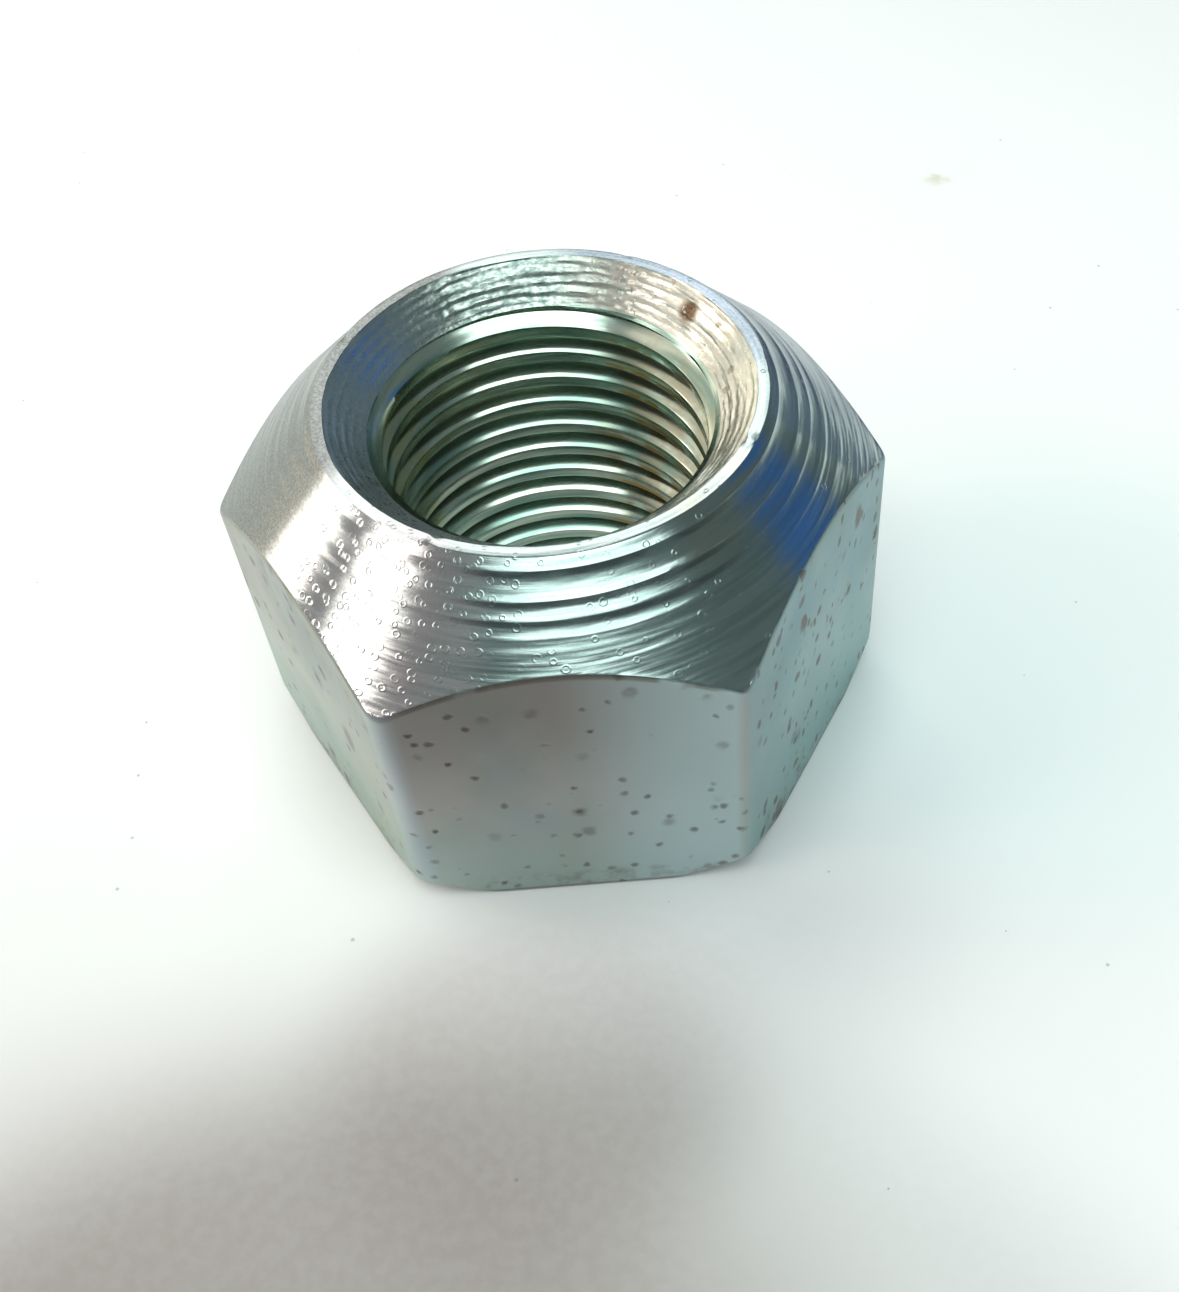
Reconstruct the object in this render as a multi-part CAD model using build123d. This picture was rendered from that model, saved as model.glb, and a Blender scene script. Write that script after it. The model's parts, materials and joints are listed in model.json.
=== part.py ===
from build123d import *

import os
from math import radians, sqrt, tan

# A wheel nut, turned from a forged hexagon of steel in one piece. It has a hexagon for the
# socket, a cone that centres the wheel, a narrow land round the mouth, and a threaded hole
# right through. Lengths are in millimetres and angles in degrees. The origin is the centre
# of the flat base, +Z runs up the hole to the nose, and one flat of the hexagon faces -Y.

# Hexagon
across_flats = 27.0       # takes a 27 mm or 1 1/16 in socket
height = 19.05            # 3/4 in, from the flat base to the land
hex_edge_radius = 0.8     # the upright edges of the forging are a little round

# Nose
seat_angle = 90.0         # included angle of the cone that seats in the wheel
mouth_diameter = 19.0     # where the countersink meets the land
land_width = 0.5          # flat ring between the countersink and the cone
mouth_angle = 90.0        # included angle of the turned countersink, which reaches the hole

# Hole: the plain wall stands where the crests of an M16 x 1.5 thread are
bore_diameter = 14.6

# Base
base_sink_width = 1.1     # chamfer at the lower end of the hole, just wider than the thread
base_sink_angle = 90.0
corner_cut_width = 1.5    # how far the cut reaches in from the corners, along the base
corner_cut_angle = 51.0   # rise of the cut above the base

# Sizes that follow
corner_radius = across_flats / sqrt(3)
land_radius = mouth_diameter / 2 + land_width
base_sink_radius = bore_diameter / 2 + base_sink_width
base_face_radius = corner_radius - corner_cut_width


def cone_length(outer_radius, inner_radius, included_angle):
    """Length along the axis in which a cone closes from one radius to the other."""
    return (outer_radius - inner_radius) / tan(radians(included_angle / 2))


def hexagon_bar():
    """The forged blank: a hexagonal bar with softly rounded upright edges."""
    with BuildPart() as bar:
        with BuildSketch(Plane.XY):
            RegularPolygon(across_flats / 2, 6, major_radius=False)
        extrude(amount=height)
        fillet(bar.edges().filter_by(Axis.Z), hex_edge_radius)
    return bar.part


def turned_form():
    """What the lathe leaves on the outside: corner cut, cone seat and land, from the base up.

    Where this cone runs out on the flats, it leaves the six scallops of the seat's edge.
    """
    cut_top = corner_cut_width * tan(radians(corner_cut_angle))
    cone_foot = height - cone_length(corner_radius, land_radius, seat_angle)
    with BuildPart() as form:
        with BuildSketch(Plane.XZ):
            with BuildLine():
                Polyline(
                    (0, 0),
                    (base_face_radius, 0),
                    (corner_radius, cut_top),
                    (corner_radius, cone_foot),
                    (land_radius, height),
                    (0, height),
                    close=True,
                )
            make_face()
        revolve(axis=Axis.Z)
    return form.part


def hole():
    """The way through for the stud: lower chamfer, plain wall and countersink."""
    bore_radius = bore_diameter / 2
    mouth_radius = mouth_diameter / 2
    bore_top = height - cone_length(mouth_radius, bore_radius, mouth_angle)
    bore_foot = cone_length(base_sink_radius, bore_radius, base_sink_angle)
    with BuildPart() as opening:
        with BuildSketch(Plane.XZ):
            with BuildLine():
                Polyline(
                    (0, 0),
                    (base_sink_radius, 0),
                    (bore_radius, bore_foot),
                    (bore_radius, bore_top),
                    (mouth_radius, height),
                    (0, height),
                    close=True,
                )
            make_face()
        revolve(axis=Axis.Z)
    print(f"plain wall of the hole from z = {bore_foot:.3f} to {bore_top:.3f} mm")
    return opening.part


lug_nut = hexagon_bar() & turned_form()
lug_nut -= hole()

os.makedirs("parts", exist_ok=True)
export_step(lug_nut, "parts/lug_nut.step")
print(f"lug_nut: {lug_nut.volume:.1f} mm3, {len(lug_nut.faces())} faces")
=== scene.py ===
# %% [markdown]
# # A wheel nut in zinc-plated steel
# The nut is one piece of steel. A forged hexagon is turned on a lathe, which leaves a cone,
# a narrow land and a countersink, then it is tapped and zinc plated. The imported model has
# its true sizes but a plain hole and bare surfaces. This lesson gives it the thread, the
# marks of the lathe and the plating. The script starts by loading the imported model.

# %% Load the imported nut
import json
import math

import bpy
from mathutils import Matrix, Vector, noise


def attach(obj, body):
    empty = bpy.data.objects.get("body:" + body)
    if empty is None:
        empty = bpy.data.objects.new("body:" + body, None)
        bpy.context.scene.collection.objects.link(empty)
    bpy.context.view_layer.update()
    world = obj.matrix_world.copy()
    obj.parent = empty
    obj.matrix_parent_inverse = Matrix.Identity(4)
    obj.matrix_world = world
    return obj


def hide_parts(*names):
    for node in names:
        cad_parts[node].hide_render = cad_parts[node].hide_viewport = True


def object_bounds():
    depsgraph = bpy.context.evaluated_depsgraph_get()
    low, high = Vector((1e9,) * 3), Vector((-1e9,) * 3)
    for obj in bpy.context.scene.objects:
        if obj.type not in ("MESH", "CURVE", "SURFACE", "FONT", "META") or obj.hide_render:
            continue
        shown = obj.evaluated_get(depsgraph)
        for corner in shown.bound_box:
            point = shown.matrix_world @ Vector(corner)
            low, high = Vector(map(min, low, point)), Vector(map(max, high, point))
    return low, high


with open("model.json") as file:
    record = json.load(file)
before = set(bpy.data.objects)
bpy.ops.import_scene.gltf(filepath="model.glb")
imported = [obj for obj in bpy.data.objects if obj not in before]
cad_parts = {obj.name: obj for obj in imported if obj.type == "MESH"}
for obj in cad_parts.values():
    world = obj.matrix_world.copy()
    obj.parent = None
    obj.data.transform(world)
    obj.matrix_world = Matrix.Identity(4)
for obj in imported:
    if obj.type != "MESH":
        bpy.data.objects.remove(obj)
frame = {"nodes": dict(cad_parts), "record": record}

mm = 0.001
cad_low, cad_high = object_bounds()
print("packed nut, mm:", [round(side / mm, 3) for side in cad_high - cad_low])

# %% [markdown]
# ## Sizes
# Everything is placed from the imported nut: the hexagon and the height come from its box, the
# hole from its thread mount, and the land and the base from its flat rings of points.

# %% Read the nut's sizes
across_flats = cad_high.y - cad_low.y
height = cad_high.z
corner_radius = across_flats / math.sqrt(3)
thread_mount = next(m for m in frame["record"]["mounts"] if m["name"] == "thread")
crest_radius = thread_mount["dims"]["r_mm"] * mm


def ring_at(z):
    """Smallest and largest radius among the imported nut's points at one height."""
    points = [v.co for v in frame["nodes"]["lug_nut"].data.vertices]
    radii = [math.hypot(p.x, p.y) for p in points if abs(p.z - z) < 0.001 * mm]
    return min(radii), max(radii)


mouth_radius, land_radius = ring_at(height)
sink_radius, base_radius = ring_at(0.0)
bore_top = thread_mount["pos_m"][2] + thread_mount["dims"]["length_mm"] / 2 * mm
mouth_slope = (height - bore_top) / (mouth_radius - crest_radius)
CORNER_CUT_ANGLE = 51   # degrees up from the base
corner_cut_slope = math.tan(math.radians(CORNER_CUT_ANGLE))
print("land, mm:", round(mouth_radius / mm, 2), "to", round(land_radius / mm, 2))

# %% [markdown]
# ## One mesh from columns and rows
# A lathe part is easy to build as a grid. Each column is the nut's outline at one angle round
# the axis, and each row is a ring. Because every column finds the hexagon's wall for itself,
# the curved edges where the cone runs out on the flats fall exactly on a row of points, with
# no cutting. A boolean would also work, but it leaves long thin triangles that spoil the
# shine of polished metal.

# %% Columns round the axis
EDGE_STEPS = 10
FLAT_STEPS = 32
EDGE_HALF_WIDTH = math.radians(3.4)
EDGE_ROUNDING = [0.85, 0.9, 0.9, 0.85, 1.2, 0.6]   # mm, for the edges at 0, 60, 120 ... degrees


def column_angles():
    """Angles of the columns, closer together where an upright edge is rounded."""
    angles = []
    for corner in range(6):
        start = corner * math.pi / 3
        for step in range(EDGE_STEPS):
            angles.append(start + EDGE_HALF_WIDTH * (2 * step / EDGE_STEPS - 1))
        flat_width = math.pi / 3 - 2 * EDGE_HALF_WIDTH
        for step in range(FLAT_STEPS):
            angles.append(start + EDGE_HALF_WIDTH + flat_width * step / FLAT_STEPS)
    return angles


def wall_radius(angle):
    """Distance from the axis to the hexagon's wall, with its rounded upright edges."""
    corner = round(angle / (math.pi / 3))
    turn = abs(angle - corner * math.pi / 3)
    rounding = EDGE_ROUNDING[corner % 6] * mm
    centre = corner_radius - rounding / math.cos(math.pi / 6)
    tangent_turn = math.atan2(rounding / 2, centre + rounding * math.cos(math.pi / 6))
    if turn < tangent_turn:
        return centre * math.cos(turn) + math.sqrt(rounding**2 - (centre * math.sin(turn)) ** 2)
    return across_flats / 2 / math.cos(math.pi / 6 - turn)


angles = column_angles()
walls = [wall_radius(angle) for angle in angles]
print("columns:", len(angles))

# %% Grid builder
vertices = []
faces = []
face_finishes = []
finish_now = "forged"


def add_ring(radii, heights):
    """Add one ring of points, a point on each column, and return their numbers."""
    first = len(vertices)
    for angle, radius, z in zip(angles, radii, heights):
        vertices.append((radius * math.cos(angle), radius * math.sin(angle), z))
    return list(range(first, first + len(angles)))


def join(corners):
    """Add a face, leaving out corners that have run together."""
    kept = [c for n, c in enumerate(corners) if c != corners[n - 1]]
    if len(kept) > 2 and len(set(kept)) == len(kept):
        faces.append(kept)
        face_finishes.append(finish_now)


def join_rings(lower, upper):
    """Fill between two rings, seen from outside with upper above lower."""
    count = len(angles)
    for n in range(count):
        following = (n + 1) % count
        join([lower[n], lower[following], upper[following], upper[n]])


# %% [markdown]
# ## Base, flats and upright edges
# The flats are the forged skin, nearly flat. Small steps soften the edge at the base and the
# edge where the cone was turned, because a real edge always catches a thin line of light.

# %% Build the outside below the cone
EDGE_BREAK = 0.08 * mm
rings = []
base_outline = [min(wall - EDGE_BREAK, base_radius) for wall in walls]
for share in (0.0, 0.08, 0.5, 0.92, 1.0):
    rings.append(
        add_ring([sink_radius + (edge - sink_radius) * share for edge in base_outline], [0.0] * len(angles))
    )
cut_tops = [(wall - foot) * corner_cut_slope for wall, foot in zip(walls, base_outline)]
cone_feet = [height - (wall - land_radius) for wall in walls]
rings.append(
    add_ring([wall - 0.3 * EDGE_BREAK for wall in walls], [0.75 * top for top in cut_tops])
)
flat_bottoms = [top + 0.02 * mm for top in cut_tops]
flat_tops = [foot - EDGE_BREAK for foot in cone_feet]
for share in (0.0, 0.02, 0.06, 0.15, 0.3, 0.45, 0.6, 0.75, 0.88, 0.95, 0.985, 1.0):
    rings.append(add_ring(walls, [a + (b - a) * share for a, b in zip(flat_bottoms, flat_tops)]))
rings.append(
    add_ring([wall - 0.25 * EDGE_BREAK for wall in walls], [foot - 0.2 * EDGE_BREAK for foot in cone_feet])
)
cone_edge = add_ring([wall - EDGE_BREAK for wall in walls], [foot + EDGE_BREAK for foot in cone_feet])
rings.append(cone_edge)
for lower, upper in zip(rings, rings[1:]):
    join_rings(lower, upper)
base_inner = rings[0]
print("points below the cone:", len(vertices))

# %% [markdown]
# ## Turned cone
# A lathe tool has a round nose, so each pass leaves a shallow hollow and two passes meet in a
# sharp ridge. Next to the land the passes are wide, and further out the feed was finer. The
# land was faced last and cut the first pass in half. The hollows are real shape here: their
# outer halves lean up to the lamp and their inner halves lean away, which is what draws the
# bright and dark rings on a turned cone.

# %% Rows of the tool's passes
WIDE_PASSES = [1.05, 0.87, 0.55, 0.51]   # mm
FINE_PASSES = [0.16, 0.14, 0.21, 0.13, 0.17, 0.24, 0.15]   # mm, again and again down to the corners
FIRST_ROW = 0.05      # mm outside the land
FIRST_RIDGE = 0.43    # mm outside the land, where the first pass ends
RIDGE_WIDTH = 0.02    # mm, so that a ridge stays sharp
ROW_STEP = 0.08       # mm


def pass_depth(width, share):
    """Depth in mm of the hollow of a pass, at a share of its width."""
    return 0.32 * width**1.4 * share * (1 - share)


def pass_rows():
    """Distance from the axis and depth of every row on the cone, in mm."""
    land_edge = land_radius / mm
    first_width = WIDE_PASSES[0]
    first_share = 1 - (FIRST_RIDGE - FIRST_ROW) / first_width
    rows = [(land_edge + FIRST_ROW, pass_depth(first_width, first_share))]
    place = land_edge + FIRST_RIDGE - first_width
    number = 0
    while place < corner_radius / mm:
        wide = number < len(WIDE_PASSES)
        width = WIDE_PASSES[number] if wide else FINE_PASSES[number % len(FINE_PASSES)]
        steps = max(2, round(width / ROW_STEP))
        shares = [step / steps for step in range(steps)]
        shares.insert(1, RIDGE_WIDTH / width)
        for share in shares:
            if place + width * share > land_edge + 2 * FIRST_ROW:
                rows.append((place + width * share, pass_depth(width, share)))
        place += width
        number += 1
    return rows


lathe_rows = pass_rows()
print("rows on the cone:", len(lathe_rows))

# %% Build the cone with its tool marks
def along(angle, turns, across):
    """A place for noise that closes on itself after a full turn."""
    return Vector((turns * math.cos(angle), turns * math.sin(angle), across))


LIGHTLY_CUT_SIDE = 213   # degrees round from +X; the tool's marks are faintest here


def cone_relief(place, depth, angle):
    """How far the tool cut below the plain cone, as a length: its pass, and a fine uneven grain."""
    lighter = 0.6 * max(0.0, math.cos(angle - math.radians(LIGHTLY_CUT_SIDE))) ** 2
    strength = 1.0 - lighter + 0.5 * noise.noise(along(angle, 1.3, place / 0.5))
    ripple = 0.012 * (0.5 + noise.noise(along(angle, 2.0, 20 + place / 0.2)))
    chatter = 0.010 * (0.5 + noise.noise(along(angle, 9.0, 40 + place / 0.13)))
    return (depth * strength + (ripple + chatter) * (1.0 - lighter)) * mm


diagonal = math.sqrt(0.5)   # a cut into a 45 degree slope moves this share in and this share down
cone_rows = []
finish_now = "turned"
for place, depth in lathe_rows:
    numbers = []
    for n, angle in enumerate(angles):
        drift = 0.05 * noise.noise(along(angle, 1.2, place * 0.5)) * min(1.0, 2 * (place - land_radius / mm))
        radius = (place + drift) * mm
        if radius > walls[n] - EDGE_BREAK * 1.3:
            numbers.append(cone_edge[n])
            continue
        fade = min(1.0, (walls[n] - radius) / (0.25 * mm))
        sunk = cone_relief(place, depth, angle) * fade * diagonal
        reach = radius - sunk
        numbers.append(len(vertices))
        z = height + land_radius - radius - sunk
        vertices.append((reach * math.cos(angle), reach * math.sin(angle), z))
    cone_rows.append(numbers)
for outer, inner in zip([cone_edge, *cone_rows[::-1]], cone_rows[::-1]):
    join_rings(outer, inner)
print("points with the cone:", len(vertices))

# %% [markdown]
# ## Land round the mouth
# Between the cone and the countersink stands a ring half a millimetre wide. It has been
# knocked about, so its two edges wander a little and carry a few nicks.

# %% Build the land
def wander(angle, seed, size):
    """A small smooth change along the rim that closes on itself."""
    slow = noise.noise(Vector((3 * math.cos(angle), 3 * math.sin(angle), seed)))
    quick = noise.noise(Vector((14 * math.cos(angle), 14 * math.sin(angle), seed + 5)))
    return size * (slow + 0.5 * quick)


NICKS = [   # where in degrees round from +X, depth in mm, half width in degrees
    (3.0, 0.08, 3.0), (-26.0, 0.2, 2.0), (152.0, 0.14, 1.8), (-117.0, 0.16, 1.6), (65.0, 0.1, 1.5),
]


def nick_depth(angle):
    """How deep the nicks reach at an angle, as a length."""
    depth = 0.0
    for place, deepest, width in NICKS:
        away = abs((math.degrees(angle) - place + 180) % 360 - 180) / width
        depth = max(depth, deepest * mm * math.exp(-(away**4)))
    return depth


outer_land = [land_radius + 0.03 * mm + wander(a, 1.0, 0.015 * mm) - 0.5 * nick_depth(a) for a in angles]
inner_land = [mouth_radius + wander(a, 9.0, 0.05 * mm) + 0.5 * nick_depth(a) for a in angles]
land_rows = []
for share, drop in ((1.0, 0.02), (0.97, 0.003), (0.93, 0.0), (0.07, 0.0), (0.03, 0.003), (0.0, 0.02)):
    radii = [i + (o - i) * share for i, o in zip(inner_land, outer_land)]
    tops = [height - drop * mm - (0.25 * nick_depth(a) if 0 < share < 1 else 0) for a in angles]
    land_rows.append(add_ring(radii, tops))
for outer, inner in zip([cone_rows[0], *land_rows], land_rows):
    join_rings(outer, inner)
print("land joined")

# %% [markdown]
# ## Countersink
# The countersink was cut fast and tore the steel, so its marks are deeper and rougher than
# those of the cone. It ends where the thread's groove runs out.

# %% Build the countersink
pitch = 1.5 * mm
groove_depth = 0.67 * mm
SINK_STEP = 0.045 * mm


def torn_relief(radius, angle):
    """Torn grooves of the countersink, ragged along their turning, as a length."""
    r = radius / mm
    shift = 0.25 * noise.noise(along(angle, 2.0, r * 0.8)) + 0.12 * noise.noise(along(angle, 14.0, r / 0.3))
    line = abs(math.sin(math.pi * (r / 0.31 + shift)))
    ragged = noise.noise(along(angle, 18.0, r / 0.09))
    broad = noise.noise(along(angle, 2.5, r / 0.4))
    smoother_side = 1.0 - 0.65 * max(0.0, math.cos(angle - math.radians(195)))
    return mm * smoother_side * (0.052 * line * (0.8 + broad) + 0.032 * max(0.0, 0.25 + ragged))


finish_now = "torn"
ring_radius = crest_radius + groove_depth - 0.09 * mm
ring_top = height - (mouth_radius - ring_radius) * mouth_slope
previous = land_rows[-1]
radius = mouth_radius - 0.07 * mm
sink_rows = 0
while radius > ring_radius + 0.5 * SINK_STEP:
    fade = min(1.0, (radius - ring_radius) / (0.15 * mm))
    sunk = [torn_relief(radius, angle) * fade * diagonal for angle in angles]
    z = height - (mouth_radius - radius) * mouth_slope
    ring = add_ring([radius + s for s in sunk], [z - s for s in sunk])
    join_rings(previous, ring)
    previous = ring
    sink_rows += 1
    radius -= SINK_STEP
run_out_ring = add_ring([ring_radius] * len(angles), [ring_top] * len(angles))
join_rings(previous, run_out_ring)
print("rows in the countersink:", sink_rows)

# %% [markdown]
# ## Thread
# The thread is a right-hand M16 x 1.5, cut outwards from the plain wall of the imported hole.
# Its rows climb one pitch in each turn, so the crests stay crisp. The top groove runs out in
# the countersink, and the bottom one in the lower chamfer.

# %% Build the threaded hole
crest_top_at_back = 16.71 * mm
THREAD_FORM = [   # height below the crest's upper edge in mm, and depth of the groove there as a share
    (0.0, 0.015), (0.04, 0.0), (0.27, 0.0), (0.46, 0.0), (0.51, -0.02), (0.545, 0.03), (0.65, 0.31),
    (0.76, 0.6), (0.86, 0.85), (0.93, 0.97), (1.015, 1.0), (1.1, 0.97), (1.17, 0.85), (1.27, 0.6),
    (1.38, 0.31), (1.47, 0.07),
]


def hole_wall(z):
    """Radius of the plain hole at a height, with its countersink and lower chamfer."""
    return max(crest_radius, crest_radius + (z - bore_top) / mouth_slope, sink_radius - z)


def thread_row(turn, below, deep):
    """One row of the thread: a point on each column, or the end ring where the row has run out."""
    numbers = []
    for n, angle in enumerate(angles):
        climb = pitch * (angle - math.pi / 2) / (2 * math.pi)
        z = crest_top_at_back + climb - turn * pitch - below * mm
        if z > ring_top - 0.015 * mm:
            numbers.append(run_out_ring[n])
        elif z < 0.02 * mm:
            numbers.append(base_inner[n])
        else:
            r = max(hole_wall(z), crest_radius + groove_depth * deep)
            numbers.append(len(vertices))
            vertices.append((r * math.cos(angle), r * math.sin(angle), z))
    return numbers


finish_now = "tapped"
turns = range(-2, math.ceil(height / pitch) + 1)
thread_rows = [thread_row(turn, below, deep) for turn in turns for below, deep in THREAD_FORM]
rows_per_turn = len(THREAD_FORM)
for upper, lower in zip(thread_rows, thread_rows[1:]):
    for n in range(len(angles) - 1):
        join([upper[n], upper[n + 1], lower[n + 1], lower[n]])
for row in range(rows_per_turn, len(thread_rows) - 1):
    start = thread_rows[row - rows_per_turn]
    start_below = thread_rows[row - rows_per_turn + 1]
    upper = thread_rows[row]
    lower = thread_rows[row + 1]
    join([upper[-1], start[0], start_below[0], lower[-1]])
print("points in all:", len(vertices), "faces:", len(faces))

# %% [markdown]
# ## The finished mesh
# The faces are shaded smooth, but an edge that turns by more than twenty degrees stays crisp.

# %% Make the nut
FINISHES = ["forged", "turned", "torn", "tapped"]
CRISP_EDGE_ANGLE = 20   # degrees
mesh = bpy.data.meshes.new("lug_nut_plated")
mesh.from_pydata(vertices, [], faces)
mesh.polygons.foreach_set("material_index", [FINISHES.index(name) for name in face_finishes])
mesh.polygons.foreach_set("use_smooth", [True] * len(faces))
mesh.set_sharp_from_angle(angle=math.radians(CRISP_EDGE_ANGLE))
mesh.update()
nut = bpy.data.objects.new("lug_nut_plated", mesh)
bpy.context.scene.collection.objects.link(nut)
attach(nut, "root")
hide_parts("lug_nut")
triangles = sum(len(face) - 2 for face in faces)
print("triangles:", triangles)

# %% [markdown]
# ## Finishes
# Zinc plating is a bright, slightly green-blue metal. Each finish is made with nodes from the
# place on the nut, so it needs no image and stays put when the nut is turned.

# %% Node helpers
def direction(azimuth, rise):
    """A direction from the nut: degrees round from +X, and degrees above the floor."""
    a, e = math.radians(azimuth), math.radians(rise)
    return Vector((math.cos(a) * math.cos(e), math.sin(a) * math.cos(e), math.sin(e)))


class Nodes:
    """Short calls that add and link the nodes of a material or of the world."""

    def __init__(self, tree, place="Object"):
        self.tree = tree
        self.place = self.add("ShaderNodeTexCoord").outputs[place]

    def add(self, kind, **settings):
        node = self.tree.nodes.new(kind)
        for name, value in settings.items():
            setattr(node, name, value)
        return node

    def feed(self, socket, value):
        """Link an output to a socket, or set the socket to a plain value."""
        if isinstance(value, bpy.types.NodeSocket):
            self.tree.links.new(value, socket)
        else:
            socket.default_value = value

    def math(self, operation, a, b=0.0):
        node = self.add("ShaderNodeMath", operation=operation)
        self.feed(node.inputs[0], a)
        self.feed(node.inputs[1], b)
        return node.outputs[0]

    def remap(self, value, low, high, to_low=0.0, to_high=1.0):
        """Smooth step from one range to another."""
        node = self.add("ShaderNodeMapRange", interpolation_type="SMOOTHSTEP")
        for socket, number in zip(node.inputs, (value, low, high, to_low, to_high)):
            self.feed(socket, number)
        return node.outputs[0]

    def noise(self, place, scale, detail=3.0):
        """Soft noise between 0 and 1, with a scale in features per metre."""
        node = self.add("ShaderNodeTexNoise")
        self.feed(node.inputs["Vector"], place)
        node.inputs["Scale"].default_value = scale
        node.inputs["Detail"].default_value = detail
        node.inputs["Roughness"].default_value = 0.55
        return node.outputs["Fac"]

    def cells(self, place, scale, flat=False):
        """Cells round scattered points, with a scale in cells per metre."""
        node = self.add("ShaderNodeTexVoronoi", voronoi_dimensions="2D" if flat else "3D")
        self.feed(node.inputs["Vector"], place)
        node.inputs["Scale"].default_value = scale
        return node

    def shaken(self, place, scale, distance):
        """A place moved a little by noise, which makes round spots uneven."""
        wobble = self.add("ShaderNodeTexNoise")
        self.feed(wobble.inputs["Vector"], place)
        wobble.inputs["Scale"].default_value = scale
        node = self.add("ShaderNodeVectorMath", operation="MULTIPLY_ADD")
        self.feed(node.inputs[0], wobble.outputs["Color"])
        node.inputs[1].default_value = (distance, distance, distance)
        self.feed(node.inputs[2], place)
        return node.outputs[0]

    def spots(self, place, scale, share, smallest, largest, soft=0.03, flat=False):
        """Spots at the middles of a share of the cells, with sizes given in cells."""
        cells = self.cells(place, scale, flat=flat)
        lot = self.add("ShaderNodeSeparateColor")
        self.feed(lot.inputs[0], cells.outputs["Color"])
        chosen = self.math("LESS_THAN", lot.outputs[0], share)
        size = self.remap(lot.outputs[1], 0.0, 1.0, smallest, largest)
        spot = self.remap(self.math("SUBTRACT", cells.outputs["Distance"], size), -soft, soft, 1.0, 0.0)
        return self.math("MULTIPLY", spot, chosen)

    def blend(self, share, first, second, mode="MIX"):
        """The first colour, with a share of the second laid over it."""
        node = self.add("ShaderNodeMix", data_type="RGBA", blend_type=mode)
        self.feed(node.inputs["Factor"], share)
        self.feed(node.inputs["A"], first)
        self.feed(node.inputs["B"], second)
        return node.outputs["Result"]

    def bump(self, relief, depth):
        """Relief of a given depth in metres."""
        node = self.add("ShaderNodeBump")
        node.inputs["Strength"].default_value = 1.0
        node.inputs["Distance"].default_value = depth
        self.feed(node.inputs["Height"], relief)
        return node.outputs["Normal"]

    def along(self, way):
        """How far the place lies along a direction."""
        node = self.add("ShaderNodeVectorMath", operation="DOT_PRODUCT")
        self.feed(node.inputs[0], self.place)
        node.inputs[1].default_value = way
        return node.outputs["Value"]

    def near(self, spot):
        """Distance of the place from a spot."""
        node = self.add("ShaderNodeVectorMath", operation="DISTANCE")
        self.feed(node.inputs[0], self.place)
        node.inputs[1].default_value = spot
        return node.outputs["Value"]

    def toward(self, azimuth, rise, inner, outer):
        """1 within an angle of a direction and 0 beyond a wider one, in degrees."""
        near = self.along(direction(azimuth, rise))
        return self.remap(near, math.cos(math.radians(outer)), math.cos(math.radians(inner)))

    def window(self, azimuth, rise, width, height, soft_width, soft_height):
        """1 inside a rectangular window round a direction, fading at its edges, in degrees."""
        ahead = direction(azimuth, rise)
        sideways = direction(azimuth + 90, 0)
        depth = self.math("MAXIMUM", self.along(ahead), 0.01)
        shares = []
        for axis, size, soft in ((sideways, width, soft_width), (ahead.cross(sideways), height, soft_height)):
            off = self.math("ABSOLUTE", self.math("DIVIDE", self.along(axis), depth))
            edge = math.tan(math.radians(size / 2))
            shares.append(self.remap(off, edge, edge + math.tan(math.radians(soft)), 1.0, 0.0))
        return self.math("MULTIPLY", *shares)


class Finish(Nodes):
    """A metal surface."""

    def __init__(self, name):
        self.material = bpy.data.materials.new(name)
        self.material.use_nodes = True
        super().__init__(self.material.node_tree)
        self.shader = self.tree.nodes["Principled BSDF"]
        self.shader.inputs["Metallic"].default_value = 1.0
        split = self.add("ShaderNodeSeparateXYZ")
        self.feed(split.inputs[0], self.place)
        self.x, self.y, self.z = split.outputs
        squares = [self.math("POWER", side, 2.0) for side in (self.x, self.y)]
        self.radius = self.math("SQRT", self.math("ADD", *squares))

    def point(self, x, y, z):
        place = self.add("ShaderNodeCombineXYZ")
        for socket, value in zip(place.inputs, (x, y, z)):
            self.feed(socket, value)
        return place.outputs[0]

    def grooves(self, across, scale, turns, detail):
        """Noise in grooves that run round the axis; more turns make them shorter."""
        unit = self.math("DIVIDE", turns, self.radius)
        x, y = [self.math("MULTIPLY", side, unit) for side in (self.x, self.y)]
        return self.noise(self.point(x, y, self.math("MULTIPLY", across, scale)), 1.0, detail=detail)

    def brush(self, anisotropy):
        """Draw the shine out across marks that run round the axis."""
        self.shader.inputs["Anisotropic"].default_value = anisotropy
        self.shader.inputs["Anisotropic Rotation"].default_value = 0.25
        round_axis = self.add("ShaderNodeTangent", direction_type="RADIAL", axis="Z")
        self.feed(self.shader.inputs["Tangent"], round_axis.outputs[0])

    def side(self, azimuth, half_width, edge=12.0):
        """1 on the part of the nut that faces an azimuth, 0 elsewhere, in degrees."""
        a = math.radians(azimuth)
        cosine = self.math("DIVIDE", self.along(Vector((math.cos(a), math.sin(a), 0))), self.radius)
        outer = math.cos(math.radians(half_width + edge))
        return self.remap(cosine, outer, math.cos(math.radians(half_width)))


# %% [markdown]
# ### Turned zinc
# The cone shines like brushed metal: every mark runs round the axis, so a lamp is drawn out
# into a fan of light across the marks. Brushing the shader gives the fans, and a noise that
# is squeezed along the radius gives the finest marks, too small to build. The plating also
# left small round blisters, which show only as rims. All the small relief is added up before
# it bends the shine, since one bump node is quicker than a chain of them.

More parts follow.
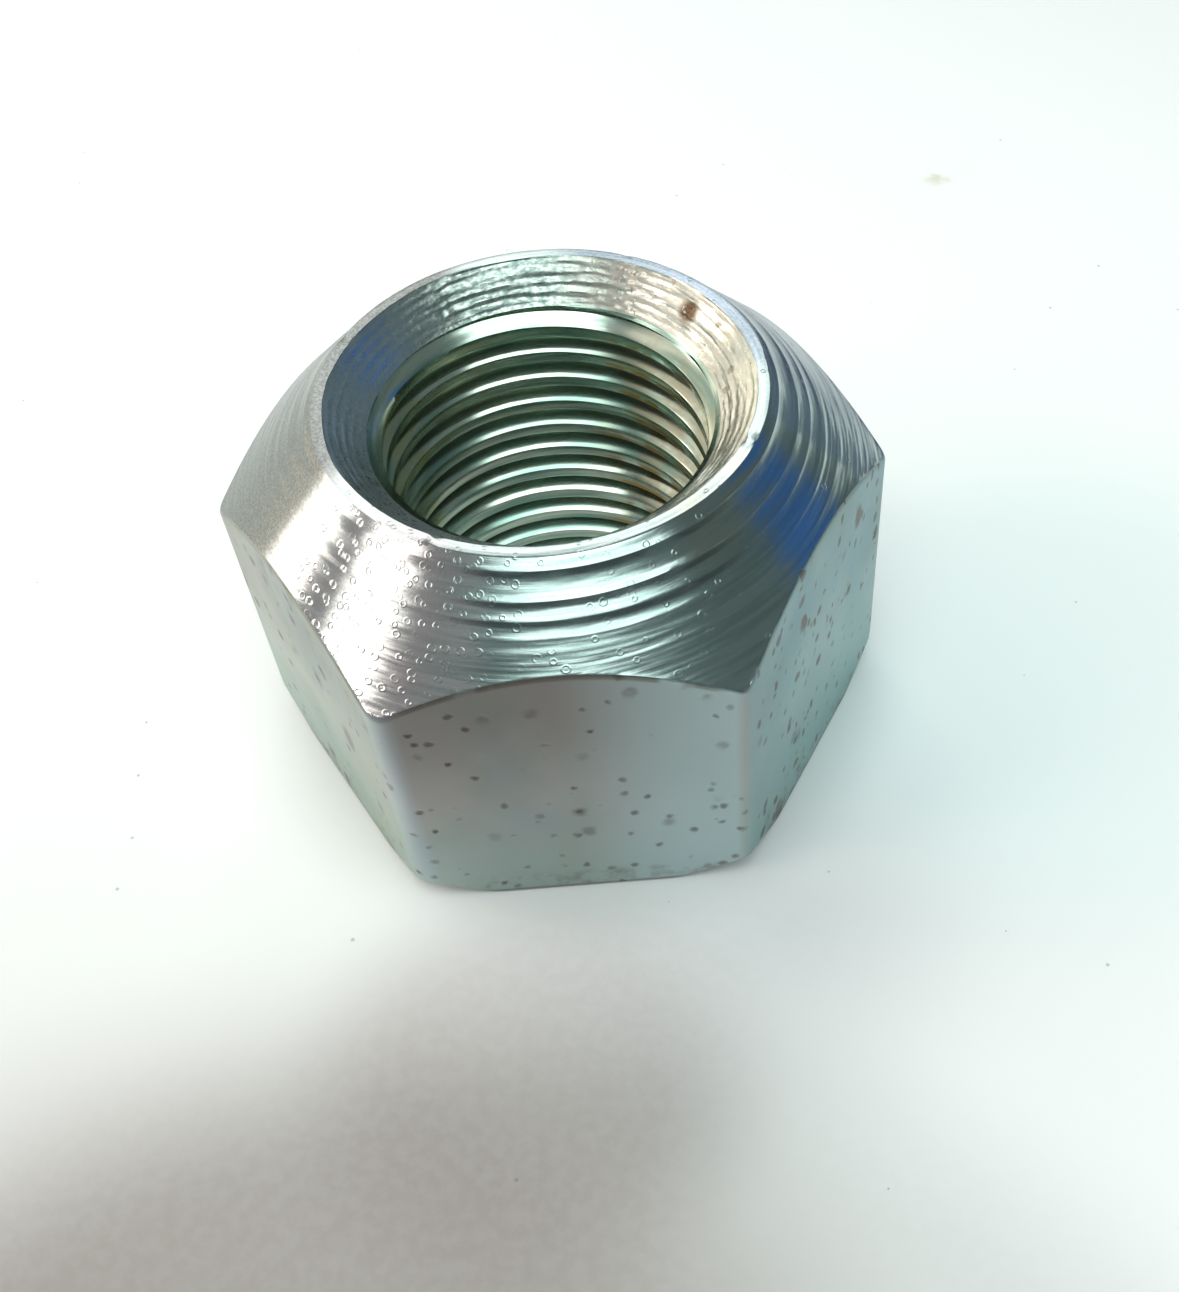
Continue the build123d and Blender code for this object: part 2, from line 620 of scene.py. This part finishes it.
# %% Turned finish
def blisters(finish):
    """Rims of the small round blisters that the plating left on the cone."""
    around_axis = finish.math("MULTIPLY", finish.math("ARCTAN2", finish.y, finish.x), 11.5 * mm)
    laid_flat = finish.point(around_axis, finish.math("MULTIPLY", finish.radius, math.sqrt(2)), 0.0)
    cells = finish.cells(laid_flat, 1700.0, flat=True)
    lot = finish.add("ShaderNodeSeparateColor")
    finish.feed(lot.inputs[0], cells.outputs["Color"])
    share = finish.math("MULTIPLY", finish.side(-122, 20, 10), 0.9)
    share = finish.math("MAXIMUM", share, finish.math("MULTIPLY", finish.side(-62, 16, 10), 0.3))
    outer = finish.remap(finish.radius, 12.2 * mm, 13.0 * mm)
    lower = finish.math("MULTIPLY", outer, finish.side(-90, 30, 8))
    share = finish.math("MAXIMUM", share, finish.math("MULTIPLY", lower, 0.4))
    share = finish.math("MAXIMUM", share, 0.05)
    size = finish.remap(lot.outputs[1], 0.0, 1.0, 0.17, 0.26)
    off = finish.math("ABSOLUTE", finish.math("SUBTRACT", cells.outputs["Distance"], size))
    strength = finish.remap(lot.outputs[2], 0.0, 1.0, 0.3, 1.0)
    rim = finish.math("MULTIPLY", finish.remap(off, 0.0, 0.11, 1.0, 0.0), strength)
    return finish.math("MULTIPLY", rim, finish.math("LESS_THAN", lot.outputs[0], share))


def edge_line(finish):
    """1 in a thin broken line where the cone meets a flat."""
    reach = 0.0
    for azimuth in (30, 90, 150):
        reach = finish.math("MAXIMUM", reach, finish.math("ABSOLUTE", finish.along(direction(azimuth, 0))))
    line = finish.remap(reach, across_flats / 2 - 0.16 * mm, across_flats / 2 - 0.06 * mm)
    line = finish.math("MULTIPLY", line, finish.remap(finish.side(-90, 22, 8), 0.0, 1.0, 0.3, 1.0))
    return finish.math("MULTIPLY", line, finish.remap(finish.noise(finish.place, 700.0), 0.4, 0.6))


def groove_shade_lines(finish):
    """1 in lines of painted shade just outside the ridges of the wide passes."""
    ridge = land_radius + FIRST_RIDGE * mm
    lines = 0.0
    for width in WIDE_PASSES[1:]:
        off = finish.math("ABSOLUTE", finish.math("SUBTRACT", finish.radius, ridge + 0.09 * mm))
        lines = finish.math("MAXIMUM", lines, finish.remap(off, 0.04 * mm, 0.12 * mm, 1.0, 0.0))
        ridge += width * mm
    broken = finish.remap(finish.grooves(finish.radius, 3000.0, 3.0, 3.0), 0.3, 0.55)
    return finish.math("MULTIPLY", finish.math("MULTIPLY", lines, broken), finish.side(-78, 16, 22))


def turned_finish():
    finish = Finish("zinc_turned")
    rings = finish.grooves(finish.radius, 9000.0, 6.0, 2.0)
    streaks = finish.grooves(finish.radius, 5000.0, 2.0, 3.0)
    clouds = finish.noise(finish.place, 260.0, detail=3.0)
    grain = finish.noise(finish.place, 9000.0, detail=1.0)
    colour = finish.blend(finish.remap(streaks, 0.35, 0.65), (0.36, 0.46, 0.44, 1), (0.52, 0.61, 0.59, 1))
    # Painted reflection: a mauve-grey tint on the front left of the cone.
    mauve_reflection = finish.math("MULTIPLY", finish.side(-150, 30, 14), finish.remap(clouds, 0.3, 0.7, 0.5, 1.0))
    colour = finish.blend(mauve_reflection, colour, (0.50, 0.485, 0.485, 1))
    # Painted reflection: the back left of the cone is painted dark.
    painted_dark_reflection = finish.math("MULTIPLY", finish.side(160, 40, 12), 0.95)
    colour = finish.blend(painted_dark_reflection, colour, (0.14, 0.15, 0.14, 1))
    # Painted reflection: the back right of the cone is tinted slate blue.
    colour = finish.blend(finish.side(42, 32, 14), colour, (0.56, 0.58, 0.70, 1), "MULTIPLY")
    olive = finish.math("MULTIPLY", finish.side(-45, 6, 14), finish.remap(clouds, 0.35, 0.6))
    olive = finish.math("MULTIPLY", olive, finish.remap(finish.radius, 12.4 * mm, 10.4 * mm))
    colour = finish.blend(olive, colour, (0.50, 0.52, 0.42, 1))
    colour = finish.blend(finish.remap(grain, 0.3, 0.7, 0.0, 0.2), colour, (0.62, 0.64, 0.62, 1))
    # Painted shade in the steps just outside the ridges of the wide passes.
    colour = finish.blend(finish.math("MULTIPLY", groove_shade_lines(finish), 0.7), colour, (0.12, 0.14, 0.14, 1))
    colour = finish.blend(finish.math("MULTIPLY", edge_line(finish), 0.4), colour, (0.16, 0.13, 0.10, 1))
    ragged = finish.grooves(finish.radius, 4000.0, 14.0, 2.0)
    relief = 0.0
    for marks, depth_in_mm in ((rings, 0.0045), (grain, 0.0006), (ragged, 0.004), (blisters(finish), 0.006)):
        relief = finish.math("ADD", relief, finish.math("MULTIPLY", marks, depth_in_mm))
    normal = finish.bump(relief, mm)
    finish.feed(finish.shader.inputs["Base Color"], colour)
    finish.feed(finish.shader.inputs["Roughness"], finish.remap(streaks, 0.3, 0.7, 0.22, 0.17))
    finish.feed(finish.shader.inputs["Normal"], normal)
    finish.brush(0.7)
    return finish.material


# %% [markdown]
# ### Torn zinc of the countersink
# The countersink is the same metal with a rougher cut, so it is less brushed and its noise
# is coarser. A little rust has started in it, in one spot and a few flecks. Its right side
# carries a painted warm reflection, and its left side a painted pale blue one.

# %% Torn finish
RUST_SPOT = Vector((6.9, 5.5, 18.3)) * mm


def torn_finish():
    finish = Finish("zinc_torn")
    tears = finish.grooves(finish.radius, 7000.0, 25.0, 3.0)
    clouds = finish.noise(finish.place, 320.0, detail=3.0)
    colour = finish.blend(finish.remap(tears, 0.35, 0.65), (0.22, 0.28, 0.26, 1), (0.56, 0.60, 0.56, 1))
    # Painted reflections: warm cream on the right of the countersink, pale blue on its left.
    warm_reflection = finish.math("MULTIPLY", finish.side(25, 45, 20), finish.remap(clouds, 0.25, 0.6, 0.6, 1.0))
    colour = finish.blend(warm_reflection, colour, (0.66, 0.65, 0.57, 1))
    cool_reflection = finish.math("MULTIPLY", finish.side(-170, 50, 20), finish.remap(clouds, 0.3, 0.7, 0.6, 1.0))
    colour = finish.blend(cool_reflection, colour, (0.58, 0.66, 0.68, 1))
    rust = finish.remap(finish.near(RUST_SPOT), 0.3 * mm, 0.75 * mm, 1.0, 0.0)
    rust = finish.math("MULTIPLY", rust, finish.remap(finish.noise(finish.place, 3200.0), 0.30, 0.42))
    share = finish.math("MULTIPLY", finish.side(40, 35, 10), 0.7)
    flecks = finish.spots(finish.shaken(finish.place, 3000.0, 0.3 * mm), 1100.0, share, 0.08, 0.24)
    colour = finish.blend(finish.math("MULTIPLY", flecks, 0.6), colour, (0.28, 0.22, 0.15, 1))
    colour = finish.blend(rust, colour, (0.13, 0.09, 0.055, 1))
    finish.feed(finish.shader.inputs["Base Color"], colour)
    finish.feed(finish.shader.inputs["Roughness"], finish.remap(tears, 0.3, 0.7, 0.36, 0.26))
    finish.feed(finish.shader.inputs["Normal"], finish.bump(tears, 0.020 * mm))
    finish.brush(0.5)
    return finish.material


# %% [markdown]
# ### Forged zinc
# The flats were never machined. Their shine is soft, with clouds of grey, blue and green from
# the plating, and many small pits with dark bottoms. Six layers of pits of different sizes
# look more natural than one, and a little noise keeps them from being round. The flat at the
# right has tall pits in clusters, and its lower corner is darker. Painted reflections tint the
# flats: darker at the top, paler green at the bottom, paler at the right of the front flat,
# teal on the right flat and cream on the left one. The rounded front-left edge carries a
# painted highlight, and a painted shadow darkens the foot of the nut.

# %% Forged finish
def forged_finish():
    finish = Finish("zinc_forged")
    clouds = finish.noise(finish.place, 150.0, detail=4.0)
    tint = finish.noise(finish.place, 110.0, detail=2.0)
    grain = finish.noise(finish.place, 5000.0, detail=2.0)
    patches = finish.noise(finish.place, 420.0, detail=3.0)
    colour = finish.blend(finish.remap(clouds, 0.35, 0.65), (0.36, 0.39, 0.38, 1), (0.42, 0.44, 0.43, 1))
    colour = finish.blend(finish.remap(tint, 0.45, 0.6), colour, (0.42, 0.41, 0.41, 1))
    blue = finish.math("MULTIPLY", finish.remap(tint, 0.47, 0.38), 0.6)
    colour = finish.blend(blue, colour, (0.35, 0.41, 0.46, 1))
    # Painted reflection: the flats turn paler green towards the bottom.
    low = finish.remap(finish.z, 9.0 * mm, 1.0 * mm, 0.0, 0.8)
    colour = finish.blend(low, colour, (0.37, 0.45, 0.42, 1))
    # Painted shade: the flats are darker towards the top.
    high = finish.remap(finish.z, 7.0 * mm, 13.0 * mm)
    colour = finish.blend(high, colour, (0.83, 0.81, 0.80, 1), "MULTIPLY")
    # Painted reflections: paler at the right of the front flat, teal on the right flat, cream on the left
    # flat.
    pale_reflection = finish.math("MULTIPLY", finish.side(-61, 3, 28), finish.side(-90, 28, 2))
    colour = finish.blend(pale_reflection, colour, (0.45, 0.55, 0.56, 1))
    colour = finish.blend(finish.side(-30, 28, 3), colour, (0.74, 0.97, 1.0, 1), "MULTIPLY")
    colour = finish.blend(finish.side(-150, 28, 3), colour, (1.0, 1.04, 0.93, 1), "MULTIPLY")
    # Painted highlight: a pale blue line down the rounded front-left upright edge.
    corner = finish.math("MULTIPLY", finish.side(-120, 1.5, 2), 0.4)
    colour = finish.blend(corner, colour, (0.44, 0.53, 0.60, 1))
    relief = finish.math("MULTIPLY", patches, 0.010)
    relief = finish.math("ADD", relief, finish.math("MULTIPLY", grain, 0.0015))
    fullness = finish.remap(patches, 0.3, 0.5, 0.5, 1.0)
    wide = finish.shaken(finish.place, 2200.0, 0.3 * mm)
    tall = finish.point(finish.x, finish.y, finish.math("MULTIPLY", finish.z, 0.6))
    tall = finish.shaken(tall, 2200.0, 0.3 * mm)
    right_flat = finish.side(-30, 27, 3)
    clusters = finish.remap(finish.noise(finish.place, 260.0), 0.42, 0.56, 0.15, 1.0)
    upper = finish.remap(finish.z, 8.0 * mm, 12.0 * mm)
    bottom_left = finish.remap(finish.z, 5.0 * mm, 1.5 * mm)
    bottom_left = finish.math("MULTIPLY", bottom_left, finish.side(-107, 14, 8))
    # Each layer: place, cells per metre, share of cells with a pit, its smallest and largest
    # size in cells, its depth in mm, and how dark its bottom is.
    for place, scale, share, smallest, largest, depth_in_mm, darkness in (
        (wide, 480.0, finish.remap(upper, 0.0, 1.0, 0.35, 0.7), 0.08, 0.19, 0.03, 0.45),
        (wide, 850.0, finish.remap(finish.z, 11.0 * mm, 6.0 * mm, 0.35, 0.85), 0.06, 0.2, 0.02, 0.7),
        (wide, 950.0, finish.remap(bottom_left, 0.0, 1.0, 0.3, 1.0), 0.09, 0.30, 0.015, 0.9),
        (tall, 520.0, finish.math("MULTIPLY", right_flat, clusters), 0.12, 0.30, 0.03, 1.0),
        (tall, 430.0, finish.math("MULTIPLY", finish.side(-150, 27, 3), 0.8), 0.07, 0.2, 0.02, 0.6),
        (tall, 1300.0, finish.math("MULTIPLY", right_flat, clusters), 0.12, 0.24, 0.02, 0.9),
    ):
        pit = finish.spots(place, scale, share, smallest, largest, 0.08)
        pit = finish.math("MULTIPLY", pit, fullness)
        colour = finish.blend(finish.math("MULTIPLY", pit, darkness), colour, (0.12, 0.10, 0.09, 1))
        relief = finish.math("SUBTRACT", relief, finish.math("MULTIPLY", pit, depth_in_mm))
    normal = finish.bump(relief, mm)
    under_edge = finish.math("SUBTRACT", height + land_radius, finish.math("ADD", finish.radius, finish.z))
    patchy_noise = finish.remap(finish.noise(finish.place, 1000.0, detail=4.0), 0.48, 0.7)
    rim = finish.remap(under_edge, 0.25 * mm, 0.05 * mm)
    rim = finish.math("MULTIPLY", rim, finish.remap(patches, 0.35, 0.5))
    rim = finish.math("MULTIPLY", rim, finish.remap(finish.side(-90, 22, 8), 0.0, 1.0, 0.3, 1.0))
    rubbed = finish.math("MULTIPLY", finish.remap(under_edge, 4.5 * mm, 0.8 * mm), finish.side(-150, 26, 4))
    rim = finish.math("MAXIMUM", rim, finish.math("MULTIPLY", finish.math("MULTIPLY", rubbed, patchy_noise), 0.6))
    # Darker in patches near the bottom of the flats.
    low_dark_patches = finish.math("MULTIPLY", finish.remap(finish.z, 1.6 * mm, 0.9 * mm), patchy_noise)
    rim = finish.math("MAXIMUM", rim, finish.math("MULTIPLY", low_dark_patches, 0.8))
    # Darker at the lower corner of the right flat.
    darker_corner = finish.math("MULTIPLY", finish.remap(finish.z, 3.2 * mm, 1.2 * mm), finish.side(-46, 8, 6))
    rim = finish.math("MAXIMUM", rim, finish.math("MULTIPLY", darker_corner, patchy_noise))
    # Painted shadow: a dark line along the foot of the nut, where it stands on the paper.
    rim = finish.math("MAXIMUM", rim, finish.remap(finish.z, 0.35 * mm, 0.1 * mm))
    # The brown here gathers smears of dirt, darker patches and painted shadow.
    colour = finish.blend(finish.math("MULTIPLY", rim, 0.65), colour, (0.15, 0.12, 0.09, 1))
    finish.feed(finish.shader.inputs["Base Color"], colour)
    finish.feed(finish.shader.inputs["Roughness"], finish.remap(clouds, 0.3, 0.7, 0.42, 0.33))
    finish.feed(finish.shader.inputs["Normal"], normal)
    return finish.material


# %% [markdown]
# ### Tapped zinc
# The thread is the brightest metal, with a golden tint on its right side that turns browner
# along the edges of the turns. The tint finds those edges from the climb of the thread.

# %% Tapped finish
def tapped_finish():
    finish = Finish("zinc_tapped")
    rings = finish.grooves(finish.z, 2500.0, 1.0, 3.0)
    fine = finish.grooves(finish.z, 9000.0, 8.0, 2.0)
    colour = finish.blend(finish.remap(rings, 0.35, 0.65), (0.30, 0.44, 0.38, 1), (0.72, 0.79, 0.68, 1))
    below = finish.remap(finish.z, 17.2 * mm, 16.6 * mm)
    climb = finish.math("MULTIPLY", finish.math("ARCTAN2", finish.y, finish.x), pitch / (2 * math.pi))
    down = finish.math("SUBTRACT", finish.math("ADD", climb, crest_top_at_back + 3.75 * pitch), finish.z)
    form = finish.math("FRACT", finish.math("DIVIDE", down, pitch))
    edge = finish.remap(finish.math("ABSOLUTE", finish.math("SUBTRACT", form, 0.30)), 0.04, 0.16, 1.0, 0.0)
    # A golden tint on the right side, browner along the edges of the turns.
    warm_tint = finish.math("MULTIPLY", finish.side(15, 42, 25), below)
    warm_tint = finish.math("MULTIPLY", warm_tint, finish.remap(finish.noise(finish.place, 500.0), 0.38, 0.55))
    colour = finish.blend(finish.math("MULTIPLY", warm_tint, 0.5), colour, (0.46, 0.38, 0.25, 1))
    colour = finish.blend(finish.math("MULTIPLY", warm_tint, edge), colour, (0.42, 0.24, 0.07, 1))
    start = finish.math("MULTIPLY", finish.side(165, 14, 10), below)
    start = finish.math("MULTIPLY", start, finish.remap(rings, 0.4, 0.6))
    colour = finish.blend(finish.math("MULTIPLY", start, 0.7), colour, (0.52, 0.50, 0.22, 1))
    finish.feed(finish.shader.inputs["Base Color"], colour)
    finish.feed(finish.shader.inputs["Roughness"], finish.remap(rings, 0.3, 0.7, 0.22, 0.14))
    finish.feed(finish.shader.inputs["Normal"], finish.bump(fine, 0.0035 * mm))
    return finish.material


for maker in (forged_finish, turned_finish, torn_finish, tapped_finish):
    mesh.materials.append(maker())
    print("finish:", mesh.materials[-1].name)

# %% [markdown]
# ## Stage
# The nut stands on white paper. The paper glows a little for the camera and for reflections
# alone, which whitens the background without more light on the nut. Painted shadows make it
# greyer in front, round the front of the nut, in one patch in front of it and pale green at
# its right, and the glow fades in front and beside the nut as painted shade. It has a pale
# stain at the back and some dust.

# %% Floor
def plane(name, width, length, place, aim=None):
    """A flat sheet of the stage; with an aim it turns its face to that point."""
    x = width / 2
    y = length / 2
    sheet = bpy.data.meshes.new(name)
    sheet.from_pydata([(-x, -y, 0), (x, -y, 0), (x, y, 0), (-x, y, 0)], [], [(0, 1, 2, 3)])
    item = bpy.data.objects.new(name, sheet)
    item.location = place
    if aim is not None:
        item.rotation_mode = "QUATERNION"
        item.rotation_quaternion = (Vector(aim) - Vector(place)).to_track_quat("Z", "Y")
    bpy.context.scene.collection.objects.link(item)
    return item


def around(azimuth, rise, distance):
    """A place at a distance from the nut in a direction."""
    return direction(azimuth, rise) * distance + middle


def on_paper(x, y):
    """A place on the paper, from millimetres."""
    return Vector((x, y, 0)) * mm


middle = Vector((0, 0, 12)) * mm
FLOOR_LIFT = 0.17
floor = plane("floor", 1.2, 1.2, (0, 0, -0.02 * mm))
paper = bpy.data.materials.new("paper")
paper.use_nodes = True
sheet = Nodes(paper.node_tree)
shader = paper.node_tree.nodes["Principled BSDF"]
fibres = sheet.noise(sheet.place, 1500.0, detail=2.0)
# Painted shadow: the paper is greyer in front.
painted_front_shadow = sheet.remap(sheet.near(on_paper(-15.7, -47.4)), 18.4 * mm, 33.3 * mm, 1.0, 0.0)
tone = sheet.blend(painted_front_shadow, (0.91, 0.91, 0.905, 1), (0.54, 0.49, 0.47, 1))
# Painted shade round the front of the nut.
nut_shade = sheet.remap(sheet.near(on_paper(7, -17)), 0.0, 14 * mm, 0.26, 0.0)
tone = sheet.blend(nut_shade, tone, (0.10, 0.12, 0.13, 1))
warm_tint = sheet.remap(sheet.noise(sheet.place, 420.0, detail=3.0), 0.52, 0.66)
near_stain = sheet.remap(sheet.near(on_paper(26.5, 42.5)), 0.6 * mm, 2.4 * mm, 0.9, 0.0)
warm_tint = sheet.math("MULTIPLY", warm_tint, near_stain)
tone = sheet.blend(warm_tint, tone, (0.62, 0.57, 0.40, 1))
# Painted shadow: a pale green shade at the right of the nut.
shade = sheet.remap(sheet.near(on_paper(26, -2)), 9 * mm, 21 * mm, 1.0, 0.0)
tone = sheet.blend(shade, tone, (0.88, 0.97, 0.97, 1), "MULTIPLY")
# Painted shadow: a soft dark patch on the paper in front of the nut.
painted_shadow_patch = sheet.remap(sheet.near(on_paper(-3, -23.1)), 5.2 * mm, 12.6 * mm, 0.59, 0.0)
tone = sheet.blend(painted_shadow_patch, tone, (0.42, 0.35, 0.34, 1))
tone = sheet.blend(sheet.remap(fibres, 0.3, 0.7, 0.0, 0.13), tone, (0.80, 0.79, 0.78, 1))
dust = sheet.spots(sheet.place, 260.0, 0.16, 0.008, 0.026, 0.010, flat=True)
tone = sheet.blend(sheet.math("MULTIPLY", dust, 0.6), tone, (0.25, 0.23, 0.21, 1))
sheet.feed(shader.inputs["Base Color"], tone)
shader.inputs["Roughness"].default_value = 0.85
shader.inputs["Emission Color"].default_value = (1, 1, 1, 1)
path = sheet.add("ShaderNodeLightPath")
seen = sheet.math("MAXIMUM", path.outputs["Is Camera Ray"], path.outputs["Is Glossy Ray"])
seen = sheet.math("MAXIMUM", seen, path.outputs["Is Transmission Ray"])
# The glow fades towards the front and next to the nut, which paints shade on the paper there.
lift = sheet.remap(sheet.near(on_paper(-5.4, -54)), 27.9 * mm, 37.8 * mm, 0.0, FLOOR_LIFT)
shade_beside_nut = sheet.remap(sheet.near(on_paper(0, 0)), 13 * mm, 18 * mm, 0.2, 1.0)
lift = sheet.math("MULTIPLY", lift, shade_beside_nut)
sheet.feed(shader.inputs["Emission Strength"], sheet.math("MULTIPLY", seen, lift))
floor.data.materials.append(paper)
print("floor:", floor.name)

# %% [markdown]
# ## Room and lamps
# Metal shows the room around it. A dim room with a round lamp over the front lights the rings
# of the cone. Two soft windows at the left make the two white fans, and a small blue window
# at the right makes the blue one. The room has no small details, so a small map of it is
# enough for Blender to aim its light, and it is quicker to make.

# %% Room
scene = bpy.context.scene
scene.view_settings.view_transform = "Standard"
world = bpy.data.worlds.new("studio")
world.use_nodes = True
scene.world = world
world.cycles.sampling_method = "MANUAL"
world.cycles.sample_map_resolution = 256
sky = Nodes(world.node_tree, "Generated")
room = (0.12, 0.155, 0.155, 1)
for azimuth, rise, inner, outer, colour in (
    (135, 6, 22, 44, (1.75, 1.66, 1.46, 1)),
    (150, 42, 18, 34, (0.90, 0.85, 0.75, 1)),
    (-180, 20, 10, 20, (0.31, 0.30, 0.31, 1)),
    (-140, 34, 10, 20, (0.37, 0.34, 0.35, 1)),
    (-80, 69, 25, 29, (2.3, 2.7, 2.62, 1)),
):
    room = sky.blend(sky.toward(azimuth, rise, inner, outer), room, colour)
for azimuth, rise, width, height_angle, soft_width, soft_height, colour in (
    (12, 18, 16, 15, 11, 10, (0.04, 0.13, 0.36, 1)),
    (94, 41, 28, 18, 6, 6, (2.3, 2.3, 2.3, 1)),
):
    window = sky.window(azimuth, rise, width, height_angle, soft_width, soft_height)
    room = sky.blend(window, room, colour)
path = sky.add("ShaderNodeLightPath")
room = sky.blend(path.outputs["Is Camera Ray"], room, (1, 1, 1, 1))
sky.feed(world.node_tree.nodes["Background"].inputs["Color"], room)
print("room nodes:", len(world.node_tree.nodes))


# %% Lamps
def softbox(name, azimuth, rise, distance, width, length, power, colour):
    """A rectangular lamp in a direction from the nut."""
    lamp = bpy.data.lights.new(name, "AREA")
    lamp.shape = "RECTANGLE"
    lamp.size = width
    lamp.size_y = length
    lamp.energy = power
    lamp.color = colour
    item = bpy.data.objects.new(name, lamp)
    item.location = around(azimuth, rise, distance)
    item.rotation_mode = "QUATERNION"
    item.rotation_quaternion = (middle - item.location).to_track_quat("-Z", "Y")
    item.visible_camera = False
    bpy.context.scene.collection.objects.link(item)
    return item


def card(name, azimuth, rise, distance, width, length, colour):
    """A glowing card that only the reflections and the light meet."""
    material = bpy.data.materials.new(name)
    material.use_nodes = True
    tree = material.node_tree
    tree.nodes.remove(tree.nodes["Principled BSDF"])
    emission = tree.nodes.new("ShaderNodeEmission")
    emission.inputs["Color"].default_value = (*colour, 1)
    tree.links.new(emission.outputs[0], tree.nodes["Material Output"].inputs[0])
    item = plane(name, width, length, around(azimuth, rise, distance), middle)
    item.data.materials.append(material)
    item.visible_camera = False
    return item


softbox("window_near", -163, 28, 0.30, 0.10, 0.15, 0.17, (1.0, 0.92, 0.87))
softbox("window_far", 166, 21, 0.30, 0.085, 0.20, 0.18, (1.0, 0.92, 0.86))
card("slate_card", 62, 3, 0.12, 0.14, 0.09, (0.14, 0.19, 0.25))
print("lamps placed")

# %% [markdown]
# ## Camera
# The camera looks down at the nut from close by, so its near corner looks larger than its far
# one. It is held a little crooked, and shifted to frame the nut left of the middle.

# %% Camera
camera = bpy.data.cameras.new("camera")
camera.lens = 44.26
camera.shift_x = -0.0557
camera.shift_y = 0.0957
camera.clip_start = 0.002
camera.clip_end = 5
camera_item = bpy.data.objects.new("camera", camera)
scene.collection.objects.link(camera_item)
CAMERA_DISTANCE = 92.0 * mm
rise = math.radians(53.49)
roll = -0.0786   # radians
aim = Vector((3.993, 0, -9.386)) * mm
back = Vector((0, -math.cos(rise), math.sin(rise)))
side = Vector((1, 0, 0))
upward = back.cross(side)
side_rolled = side * math.cos(roll) + upward * math.sin(roll)
up_rolled = upward * math.cos(roll) - side * math.sin(roll)
camera_item.location = aim + back * CAMERA_DISTANCE
camera_item.rotation_mode = "QUATERNION"
camera_item.rotation_quaternion = Matrix((side_rolled, up_rolled, back)).transposed().to_quaternion()
scene.camera = camera_item
print("camera height, mm:", round(camera_item.location.z / mm, 1))

# %% [markdown]
# ## Hood
# Whoever holds the camera keeps some light off the paper in front of the nut. A dark sheet
# beside the camera casts that soft shadow.

# %% Hood
hood_centre = camera_item.location - (up_rolled * 62 + side_rolled * 54) * mm
hood = plane("hood", 125 * mm, 130 * mm, hood_centre, hood_centre - back)
dark = bpy.data.materials.new("hood_cloth")
dark.use_nodes = True
dark.node_tree.nodes["Principled BSDF"].inputs["Base Color"].default_value = (0.16, 0.19, 0.19, 1)
hood.data.materials.append(dark)
hood.visible_camera = False
hood.visible_glossy = False
print("hood:", hood.name)

# %% [markdown]
# ## End
# The dressed nut, its finishes, the stage and the camera are all in place.

# %% End
print("scene built")
